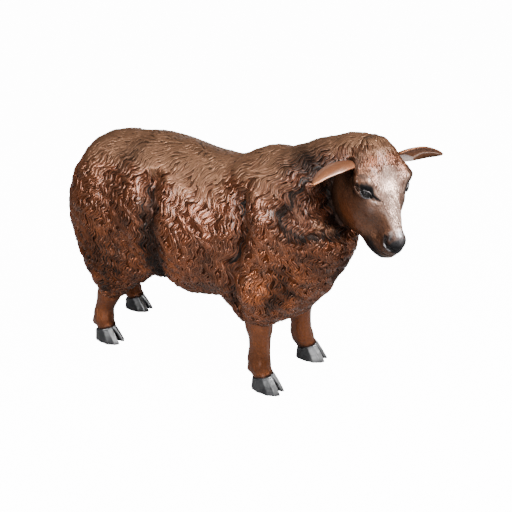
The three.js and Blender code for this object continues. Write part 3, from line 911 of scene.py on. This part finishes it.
class Fleece:
    """The surface that the locks grow from: the skin, its lie, and how the coat changes over it."""

    def __init__(self, skin, clay, values, settings):
        mesh = skin.data
        self.settings = settings
        self.at = clay.at
        self.normal = unit(clay.spread(clay.normals(), 4))
        mesh.calc_loop_triangles()
        self.faces = numbers(mesh.loop_triangles, "vertices", 3, int)
        loops = numbers(mesh.loop_triangles, "loops", 3, int)
        self.unwrap = numbers(mesh.uv_layers["OFBake"].data, "uv", 2)[loops]
        self.tree = BVHTree.FromPolygons(self.at.tolist(), self.faces.tolist())
        self.values = values
        self.covered = np.maximum(values["wool"], values["fur"])

    def land(self, points):
        """The nearest place on the skin for each point: face, and shares of its corners."""
        face = np.empty(len(points), int)
        near = np.empty((len(points), 3))
        for i, p in enumerate(points.tolist()):
            hit = self.tree.find_nearest(p)
            near[i] = hit[0]
            face[i] = hit[2]
        a, b, c = (self.at[self.faces[face, k]] for k in range(3))
        u, v, w = b - a, c - a, near - a
        uu, uv, vv = (u * u).sum(1), (u * v).sum(1), (v * v).sum(1)
        wu, wv = (w * u).sum(1), (w * v).sum(1)
        bottom = np.maximum(uu * vv - uv * uv, 1e-20)
        s, t = (vv * wu - uv * wv) / bottom, (uu * wv - uv * wu) / bottom
        return near, face, np.clip(np.column_stack((1 - s - t, s, t)), 0, 1)

    def over(self, values, face, shares):
        picked = values[self.faces[face]]
        shares = shares if picked.ndim == 2 else shares[:, :, None]
        return (picked * shares).sum(axis=1)

    def lie(self, points, normals):
        """The way the locks lie, before they wave: down the sides, back along the back, and on over
        the poll."""
        q = in_head(points)
        poll = (ramp(-150, -95, q[:, 0]) * ramp(-75, -20, q[:, 2]))[:, None]
        back = 0.28 + 0.14 * ramp(0.5, 0.72, points[:, 2])
        down = np.column_stack((-back, np.zeros(len(q)), -np.ones(len(q))))
        forward = from_head(np.column_stack((np.ones(len(q)), q[:, 1] / 160, np.full(len(q), -0.2))))
        way = down * (1 - poll) + forward * poll
        return unit(way - normals * (way * normals).sum(1, keepdims=True))

    def heading(self, points, normals, swing, turn):
        """The lie, with its waves. Neighbouring locks wave together."""
        way = self.lie(points, normals)
        drift = ripple(points, 0.16, 5)
        reach = points[:, 2] + 0.5 * points[:, 0]
        beat = 2 * math.pi * reach / self.settings.wave_length + 2.6 * drift + 0.8 * ripple(points, 0.05, 6)
        angle = swing * np.sin(beat + turn) + 0.25 * ripple(points, 0.11, 7)
        side = np.cross(normals, way)
        return way * np.cos(angle)[:, None] + side * np.sin(angle)[:, None]


def coat_scale(points, normals, fur):
    """How wide, long and high the locks are for those of the flank, then how fine and how curly.

    They are fine on back and poll, short in front and below, and finest in the fur of the forehead."""
    q = in_head(points)
    poll = np.maximum(poll_share(q), fur)
    top = ramp(0.6, 0.92, normals[:, 2]) * ramp(0.52, 0.65, points[:, 2])
    below = ramp(0.42, 0.3, points[:, 2])
    breast = ramp(0.16, 0.32, points[:, 0]) * (1 - poll)
    fine = np.maximum(top, poll)
    brow = ramp(-170, -70, q[:, 0]) * poll
    face = ramp(-100, -45, q[:, 0]) * fur

    def less(by_fine, by_below, by_breast, by_brow, by_face):
        body = 1 - by_fine * fine - by_below * below - by_breast * breast * (1 - fine)
        return body * (1 - by_brow * brow) * (1 - by_face * face)

    curl = np.maximum(ramp(0.36, 0.26, points[:, 2]), ramp(0.24, 0.36, points[:, 0])) * (1 - fine)
    width = less(0.42, 0.05, 0.25, 0.15, 0.5)
    length = less(0.3, 0.35, 0.42, 0.2, 0.25)
    height = less(0.5, 0.1, 0.2, 0.3, 0.35)
    return width, length, height, fine, curl


def scatter_roots(fleece, rng):
    """Places for the locks, evenly crowded for their size: closer across the lie than along it.

    Random places are tried in turn, and each is kept unless a kept one is too near."""
    a, b, c = (fleece.at[fleece.faces[:, k]] for k in range(3))
    area = np.linalg.norm(np.cross(b - a, c - a), axis=1) / 2
    area = area * (fleece.covered[fleece.faces].min(axis=1) > 0.5)
    area = area * (1 + 5 * fleece.values["fur"][fleece.faces].mean(axis=1))
    tries = int(area.sum() / ROOT_AREA * TRIED_PER_ROOT)
    face = rng.choice(len(area), tries, p=area / area.sum())
    shares = rng.dirichlet((1, 1, 1), tries)
    points = fleece.over(fleece.at, face, shares)
    normals = unit(fleece.over(fleece.normal, face, shares))
    fur = fleece.over(fleece.values["fur"], face, shares)
    width, length, _, _, curl = coat_scale(points, normals, fur)
    way = fleece.lie(points, normals)
    side = np.cross(normals, way)
    settings = fleece.settings
    across = settings.lock_width * width * CROWD_ACROSS * (1 - 0.15 * curl)
    along = settings.lock_length * length * CROWD_ALONG
    grid = {}
    kept = []
    keys = np.floor(points / CROWD_CELL).astype(int).tolist()
    p, w, s = points.tolist(), (way / along[:, None]).tolist(), (side / across[:, None]).tolist()
    around = list(itertools.product((-1, 0, 1), repeat=3))
    for n in range(tries):
        x, y, z = p[n]
        wx, wy, wz = w[n]
        sx, sy, sz = s[n]
        kx, ky, kz = keys[n]
        for i, j, k in around:
            for ox, oy, oz in grid.get((kx + i, ky + j, kz + k), ()):
                dx, dy, dz = ox - x, oy - y, oz - z
                u = dx * wx + dy * wy + dz * wz
                v = dx * sx + dy * sy + dz * sz
                if u * u + v * v < 1:
                    break
            else:
                continue
            break
        else:
            grid.setdefault((kx, ky, kz), []).append((x, y, z))
            kept.append(n)
    return points[kept], normals[kept], face[kept], shares[kept]


def comb_locks(fleece):
    """The middle line, size and marks of every lock."""
    rng = np.random.default_rng(SEED)
    settings = fleece.settings
    points, normals, face, shares = scatter_roots(fleece, rng)
    count = len(points)
    fur = fleece.over(fleece.values["fur"], face, shares)
    width, length, height, fine, curl = coat_scale(points, normals, fur)
    length = settings.lock_length * length * rng.uniform(0.75, 1.25, count)
    width = settings.lock_width * width * rng.uniform(0.8, 1.2, count)
    height = settings.lock_height * height * rng.uniform(0.85, 1.15, count)
    swing = settings.wave_swing * (1 - 0.4 * fine) * (1 - 0.9 * fur) * (1 + 0.5 * curl)
    turn = curl * rng.uniform(-1.1, 1.1, count)
    step = length / (RINGS - 1)
    at, up, lines, ups, covers = points, normals, [], [], []
    cover = np.ones(count)
    dives = (poll_share(in_head(points)) > 0.5) | (fur > 0.3)  # these fade out, the others stop short
    for _ in range(RINGS):
        lines.append(at)
        ups.append(up)
        covers.append(np.where(dives, ramp(0.1, 0.6, cover), 1))
        way = fleece.heading(at, up, swing, turn)
        going = np.where((cover > 0.45) | dives, 1.0, 0.12) * step
        at, *there = fleece.land(at + way * going[:, None])
        up = unit(fleece.over(fleece.normal, *there))
        cover = fleece.over(fleece.covered, *there)
    root_uv = (fleece.unwrap[face] * shares[:, :, None]).sum(axis=1)
    marks = {name: fleece.over(fleece.values[name], face, shares) for name in COAT_MARKS}
    marks["shade"] = rng.uniform(0, 1, count)
    lift = (rng.uniform(-0.14, 0.12, count) + 0.35 * fur) * height
    return {
        "line": np.stack(lines, axis=1), "up": np.stack(ups, axis=1), "cover": np.stack(covers, axis=1),
        "width": width, "height": height, "lift": lift, "root_uv": root_uv, "marks": marks,
    }


def cast_locks(name, locks, chosen):
    """One piece of the fleece: a closed, tapered and ridged body along the line of each chosen lock."""
    line, up, cover = (locks[key][chosen] for key in ("line", "up", "cover"))
    width, height, sunk = (locks[key][chosen][:, None] for key in ("width", "height", "lift"))
    count = len(line)
    t = np.linspace(0, 1, RINGS)
    tangent = unit(np.gradient(line, axis=1))
    side = unit(np.cross(up, tangent))
    up = np.cross(tangent, side)
    swell = np.sqrt(np.clip(np.sin(math.pi * (0.035 + 0.93 * t) ** 0.85), 0, 1))
    half = width / 2 * (0.1 + 0.9 * swell)
    tall = height * (0.1 + 0.9 * swell) * (0.3 + 0.7 * cover)
    lift = sunk + height * (0.35 * t - 0.35 - 0.9 * (1 - cover))
    flip = (locks["marks"]["shade"][chosen] > 0.5)[:, None, None]
    order = np.append(np.arange(SIDES - 1)[::-1], SIDES - 1)
    every = np.ones((count, RINGS, 1))
    across = np.where(flip, -ACROSS[order], ACROSS) * every
    rise = RISE * every
    rise[:, :, GROOVE] += 0.45 * (1 - swell)
    rise = np.where(flip, rise[:, :, order], rise)
    verts = (
        line[:, :, None]
        + side[:, :, None] * (half[:, :, None] * across)[..., None]
        + up[:, :, None] * ((tall[:, :, None] * rise) + lift[:, :, None])[..., None]
    )
    ring = np.arange(SIDES)
    after = (ring + 1) % SIDES
    steps = np.arange(RINGS - 1)[:, None] * SIDES
    walls = np.stack((steps + ring, steps + ring + SIDES, steps + after + SIDES, steps + after), axis=-1)
    quads = walls.reshape(-1, 4)
    closing = np.array([(0, k, k + 1) for k in range(1, SIDES - 1)])
    tris = np.concatenate((closing, ((RINGS - 1) * SIDES + closing)[:, ::-1]))
    start = np.arange(count) * RINGS * SIDES
    quads = (quads[None] + start[:, None, None]).reshape(-1, 4)
    tris = (tris[None] + start[:, None, None]).reshape(-1, 3)
    mesh = bpy.data.meshes.new(name)
    mesh.vertices.add(count * RINGS * SIDES)
    mesh.vertices.foreach_set("co", verts.ravel())
    mesh.loops.add(quads.size + tris.size)
    loops = np.concatenate((quads.ravel(), tris.ravel()))
    mesh.loops.foreach_set("vertex_index", loops)
    starts = np.concatenate((np.arange(len(quads)) * 4, quads.size + np.arange(len(tris)) * 3))
    mesh.polygons.add(len(starts))
    mesh.polygons.foreach_set("loop_start", starts)
    mesh.polygons.foreach_set("use_smooth", np.ones(len(starts), bool))
    mesh.update(calc_edges=True)
    repeated = {key: np.repeat(values[chosen], RINGS * SIDES) for key, values in locks["marks"].items()}
    mark(mesh, crest=np.clip(rise, 0, 1).ravel(), **repeated)
    along = np.broadcast_to(t[None, :, None], (count, RINGS, SIDES))
    round_it = (1 + across) / 2
    own = np.stack((along + start[:, None, None] * 0.37 % 61, round_it), axis=-1).reshape(-1, 2)
    root = np.repeat(locks["root_uv"][chosen], RINGS * SIDES, axis=0)
    patch = np.stack((along, round_it), axis=-1).reshape(-1, 2)
    for title, places in (("OFBake", root + LOCK_PATCH * (patch - 0.5)), ("strand", own)):
        layer = mesh.uv_layers.new(name=title)
        layer.data.foreach_set("uv", places[loops].ravel())
    return put(name, mesh)


# ---- Eyeballs and hooves ----

HORN_VOXEL = 0.0016


def make_eyeball(node):
    """A polished ball with an engraved iris and a level slot for its pupil."""
    side = 1 if node.endswith("left") else -1
    place = middle_of(node)
    axis, inward, upward = eye_frame(side)
    bpy.ops.object.select_all(action="DESELECT")
    bpy.ops.mesh.primitive_uv_sphere_add(segments=96, ring_count=64, radius=EYE_RADIUS, location=place)
    ball = bpy.context.object
    ball.name = node + "ball"
    looking = Matrix((from_head(inward), from_head(upward), from_head(axis))).transposed()
    ball.matrix_world = Matrix.Translation(place) @ looking.to_4x4()
    bpy.ops.object.transform_apply(location=True, rotation=True, scale=True)
    clay = Clay(ball)
    q = in_head(clay.at) - in_head(np.array([place]))
    out = np.hypot(q @ inward, q @ upward)
    front = (q @ axis) > 0
    ring = -0.55 * np.exp(-((out - 8.2) / 0.8) ** 2) - 0.35 * ramp(8.2, 6, out)
    slot = -0.9 * np.exp(-(((q @ inward) / 4.2) ** 4 + ((q @ upward) / 1.5) ** 4))
    clay.press(np.where(front, ring + slot, 0) * MM)
    clay.leave()
    bpy.ops.object.shade_smooth()
    return ball


def make_hoof(node):
    """Two claws of horn, rounded at their edges and ringed below the coronet, flat underfoot."""
    hoof = copy_nodes((node,), node + "_horn")
    finish_modifier(hoof, "REMESH", mode="VOXEL", voxel_size=HORN_VOXEL, adaptivity=0)
    clay = Clay(hoof)
    corner, size = clay.at.min(axis=0), np.ptp(clay.at, axis=0)
    low = corner[2]
    clay.smooth(120)
    clay.at = corner + (clay.at - clay.at.min(axis=0)) * size / np.ptp(clay.at, axis=0)
    height = (clay.at[:, 2] - low) / MM
    along = (clay.at[:, 0] - clay.at[:, 0].min()) / np.ptp(clay.at[:, 0])
    under = CORONET + 30 * along - height  # how far below the coronet
    normals = clay.normals()
    rings = 0.4 * np.sin(under * 2 * math.pi / 4) * ramp(16, 8, under)
    swell = 0.8 + rings * (1 - np.abs(normals[:, 2]))
    clay.press(swell * ramp(0, 4, height) * MM)
    clay.at[:, 2] = np.where(clay.at[:, 2] < low + 0.0012, low, clay.at[:, 2])
    clay.leave()
    # Faces turned forward and up get a painted highlight, standing in for the lamps' reflection
    front = ramp(0.35, 0.85, normals @ (0.8, 0, 0.6)) * ramp(2, 18, height) * ramp(-2, 10, under)
    mark(hoof.data, rub=clay.spread(front, 5))
    only(hoof)
    bpy.ops.object.shade_smooth()
    return hoof


# ---- Settings ----

def tint(red, green, blue, name, description):
    return bpy.props.FloatVectorProperty(
        name=name, description=description, default=(red, green, blue, 1),
        subtype="COLOR", size=4, min=0, max=1,
    )


def extent(millimetres, name, description):
    return bpy.props.FloatProperty(
        name=name, description=description, default=millimetres * MM,
        min=0, subtype="DISTANCE", unit="LENGTH",
    )


class SheepFleeceSettings(bpy.types.PropertyGroup):
    coat_depth: extent(6.5, "Coat depth", "How far the skin lies inside the outer shape of the fleece")
    lock_length: extent(50, "Lock length", "Length of a lock on the flank")
    lock_width: extent(17, "Lock width", "Width of a lock on the flank")
    lock_height: extent(7.4, "Lock height", "Height of a lock's ridge on the flank")
    wave_length: extent(50, "Wave length", "Length of one wave of the locks")
    wave_swing: bpy.props.FloatProperty(
        name="Wave swing", description="How far the waves turn a lock from its lie",
        default=0.68, subtype="ANGLE",
    )


class SheepPatinaSettings(bpy.types.PropertyGroup):
    brown: tint(0.076, 0.021, 0.006, "Brown", "The fleece's main colour")
    red: tint(0.138, 0.033, 0.009, "Red brown", "The warmer brown that clouds the fleece")
    orange: tint(0.30, 0.070, 0.010, "Orange", "The colour that glows low on the fleece and cheeks")
    # A painted sheen: the lighter colour of the up-facing back and poll
    matte_and_sheen: tint(0.165, 0.082, 0.043, "Dull brown", "The back and the poll, seen from above")
    # Black patina, and the painted shade of grooves, folds, hollows and the skin under the fleece
    shadow: tint(0.004, 0.002, 0.001, "Shadow", "Black patina in the grooves")
    hide: tint(0.034, 0.014, 0.007, "Hide", "The smooth face and shanks")
    hide_warm: tint(0.090, 0.037, 0.018, "Warm hide", "The lighter clouds on face and shanks")
    # A painted highlight on the crests of the locks
    copper: tint(0.54, 0.265, 0.16, "Copper", "The tops of the locks, worn to bright copper")
    # Rubbed wear and a painted highlight on the forehead and nose
    rubbed: tint(0.72, 0.49, 0.39, "Rubbed", "Metal rubbed bright on the forehead and nose")
    # Grey wear with painted highlights on the muzzle, and painted highlights on the nostril rims and lids
    silver: tint(0.36, 0.36, 0.38, "Silver", "Grey wear on the muzzle and the lids")
    ear: tint(0.30, 0.120, 0.058, "Ear", "The ears' copper brown")
    # Black patina round the eyes and on the nose, also painted shade under the chin and the brows
    black: tint(0.006, 0.0055, 0.006, "Black", "Round the eyes and on the nose")
    horn: tint(0.016, 0.016, 0.018, "Hoof", "The hooves' gunmetal")
    # A painted highlight on the hooves' front faces, and random silver wear
    horn_worn_and_lit: tint(0.33, 0.33, 0.33, "Worn hoof", "Silver wear on the hooves")


# ---- Operators ----

BUILT = {}  # what one operator leaves for the next


def enter(piece, slot, *nodes):
    """Hangs a finished piece from the root's empty, and hides the solids that it stands for, if any are
    given.
    """
    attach(piece, "root")
    if nodes:
        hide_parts(*nodes)


def wear(piece, material):
    piece.data.materials.clear()
    piece.data.materials.append(material)


LENS, SENSOR = 51.1, 36
CAMERA_PLACE, CAMERA_DROOP, CAMERA_TURN = (1.0492, -1.7818, 1.34), 25.1, 28.4


class SHEEP_OT_camera(bpy.types.Operator):
    """Sets the camera where a standing person holds it, ahead of the sheep and to its right"""

    bl_idname = "sheep.camera"
    bl_label = "Camera"

    def execute(self, context):
        data = bpy.data.cameras.new("viewpoint")
        data.sensor_width = SENSOR
        data.lens = LENS
        turn = (math.radians(90 - CAMERA_DROOP), 0, math.radians(CAMERA_TURN))
        context.scene.camera = put("viewpoint", data, CAMERA_PLACE, turn)
        return {"FINISHED"}


SKIN_TRIANGLES = 155_000  # without the ears


def unwrap(skin):
    """Lays the skin's faces out flat for the bake."""
    only(skin)
    bpy.ops.object.mode_set(mode="EDIT")
    bpy.ops.mesh.select_all(action="SELECT")
    bpy.ops.uv.smart_project(angle_limit=math.radians(66), island_margin=0.002)
    bpy.ops.object.mode_set(mode="OBJECT")
    skin.data.uv_layers[0].name = "OFBake"


class SHEEP_OT_skin(bpy.types.Operator):
    """Models the skin over body, head and legs as one casting, with its ears"""

    bl_idname = "sheep.skin"
    bl_label = "Skin"

    def execute(self, context):
        settings = context.scene.sheep_fleece
        skin, clay, wool = make_skin(settings)
        marks = skin_marks(clay, wool)
        mark(skin.data, **marks, ear=wool * 0, inside=wool * 0)
        clay.leave()
        unwrap(skin)
        BUILT["fleece"] = Fleece(skin, clay, marks, settings)
        triangles = sum(len(face.vertices) - 2 for face in skin.data.polygons)
        finish_modifier(skin, "DECIMATE", ratio=min(1, SKIN_TRIANGLES / triangles))
        ears = [make_ear(node) for node in EAR_NODES]
        only(skin, *ears)
        bpy.ops.object.join()
        bpy.ops.object.shade_smooth()
        unwrap(skin)
        wear(skin, skin_patina(context.scene.sheep_patina))
        enter(skin, "hide", "head", *WOOL_NODES, *SHANK_NODES, *EAR_NODES)
        return {"FINISHED"}


FLEECE_BANDS = ("rump", "haunch", "loin", "rib", "heart", "shoulder", "neck")
FLEECE_CUTS = (-0.40, -0.26, -0.12, 0.02, 0.14, 0.25)  # in metres along the body, between the bands


class SHEEP_OT_fleece(bpy.types.Operator):
    """Lays the wavy locks over the skin, in bands from the rump to the poll"""

    bl_idname = "sheep.fleece"
    bl_label = "Fleece"

    def execute(self, context):
        locks = comb_locks(BUILT["fleece"])
        material = fleece_patina(context.scene.sheep_patina)
        root = locks["line"][:, 0]
        band = np.digitize(root[:, 0], FLEECE_CUTS)
        poll = poll_share(in_head(root)) > 0.5
        for number, title in enumerate(FLEECE_BANDS):
            for side, right in (("right", True), ("left", False)):
                chosen = (band == number) & ((root[:, 1] < 0) == right) & ~poll
                self.lay(f"fleece_{title}_{side}", locks, chosen, material)
        self.lay("fleece_poll", locks, poll, material)
        return {"FINISHED"}

    def lay(self, name, locks, chosen, material):
        piece = cast_locks(name, locks, np.flatnonzero(chosen))
        wear(piece, material)
        enter(piece, "fleece")


def cast_each(nodes, make, material, slot):
    for node in nodes:
        piece = make(node)
        wear(piece, material)
        enter(piece, slot, node)


class SHEEP_OT_eyes(bpy.types.Operator):
    """Sets the engraved eyeballs behind the lids"""

    bl_idname = "sheep.eyes"
    bl_label = "Eyes"

    def execute(self, context):
        cast_each(EYE_NODES, make_eyeball, eye_patina(context.scene.sheep_patina), "eye")
        return {"FINISHED"}


class SHEEP_OT_hooves(bpy.types.Operator):
    """Models the four cloven hooves"""

    bl_idname = "sheep.hooves"
    bl_label = "Hooves"

    def execute(self, context):
        cast_each(HOOF_NODES, make_hoof, hoof_patina(context.scene.sheep_patina), "hoof")
        return {"FINISHED"}


FLOOR_SIDE = 60
BODY_MIDDLE = (0, 0, 0.45)
SOFT_BOXES = (  # name, place, target, size, watts
    ("flank_light", (-0.45, -2.6, 1.9), BODY_MIDDLE, (0.9, 1.5), 145),
    ("face_light", (2.3, -0.2, 2.3), (0.45, 0, 0.6), (1.1, 1.1), 240),
    ("back_light", (-1.6, 2.4, 2.0), BODY_MIDDLE, (1.8, 1.2), 10),
    ("breast_light", (1.5, -2.2, 0.6), (0.2, 0, 0.35), (1.4, 1.0), 30),
)
CEILING_POWER, CEILING_SPREAD = 1.45, 50


def soft_box(name, place, target, size, power):
    data = bpy.data.lights.new(name, "AREA")
    data.shape = "RECTANGLE"
    data.size, data.size_y = size
    data.energy = power
    put(name, data, place, (Vector(target) - Vector(place)).to_track_quat("-Z", "Y").to_euler())


class SHEEP_OT_stage(bpy.types.Operator):
    """Lays a pale floor and hangs the soft studio lights"""

    bl_idname = "sheep.stage"
    bl_label = "Stage and lights"

    def execute(self, context):
        bpy.ops.object.select_all(action="DESELECT")
        bpy.ops.mesh.primitive_plane_add(size=FLOOR_SIDE, location=(0, 0, 0))
        floor = context.object
        floor.name = "floor"
        wear(floor, stage_surface())
        world = bpy.data.worlds.new("studio")
        world.use_nodes = True
        nodes, links = world.node_tree.nodes, world.node_tree.links
        walls, backdrop = nodes["Background"], nodes.new("ShaderNodeBackground")
        walls.inputs["Color"].default_value = (1, 1, 1, 1)
        walls.inputs["Strength"].default_value = WALL_LIGHT
        backdrop.inputs["Strength"].default_value = FLOOR_GLOW + 1
        seen, either = nodes.new("ShaderNodeLightPath"), nodes.new("ShaderNodeMixShader")
        for output, entry in (
            (seen.outputs["Is Camera Ray"], either.inputs[0]),
            (walls.outputs[0], either.inputs[1]),
            (backdrop.outputs[0], either.inputs[2]),
            (either.outputs[0], nodes["World Output"].inputs["Surface"]),
        ):
            links.new(output, entry)
        context.scene.world = world
        for box in SOFT_BOXES:
            soft_box(*box)
        sun = bpy.data.lights.new("ceiling", "SUN")
        sun.energy = CEILING_POWER
        sun.angle = math.radians(CEILING_SPREAD)
        put("ceiling", sun, turn=(math.radians(20), math.radians(-10), 0))
        return {"FINISHED"}


class SHEEP_PT_panel(bpy.types.Panel):
    """The sheep's settings and steps"""

    bl_label = "Bronze sheep"
    bl_idname = "SHEEP_PT_panel"
    bl_space_type = "VIEW_3D"
    bl_region_type = "UI"
    bl_category = "Bronze sheep"

    def draw(self, context):
        for group in (context.scene.sheep_fleece, context.scene.sheep_patina):
            column = self.layout.column()
            for key in group.__annotations__:
                column.prop(group, key)
        for step in STEPS:
            self.layout.operator(step.bl_idname)


STEPS = (SHEEP_OT_camera, SHEEP_OT_skin, SHEEP_OT_fleece, SHEEP_OT_eyes, SHEEP_OT_hooves, SHEEP_OT_stage)
CLASSES = (SheepFleeceSettings, SheepPatinaSettings, *STEPS, SHEEP_PT_panel)


def register():
    for cls in CLASSES:
        bpy.utils.register_class(cls)
    bpy.types.Scene.sheep_fleece = bpy.props.PointerProperty(type=SheepFleeceSettings)
    bpy.types.Scene.sheep_patina = bpy.props.PointerProperty(type=SheepPatinaSettings)


def unregister():
    del bpy.types.Scene.sheep_patina
    del bpy.types.Scene.sheep_fleece
    for cls in reversed(CLASSES):
        bpy.utils.unregister_class(cls)


def main():
    register()
    bpy.ops.sheep.camera()
    bpy.ops.sheep.skin()
    bpy.ops.sheep.fleece()
    bpy.ops.sheep.eyes()
    bpy.ops.sheep.hooves()
    bpy.ops.sheep.stage()


if __name__ == "__main__":
    main()
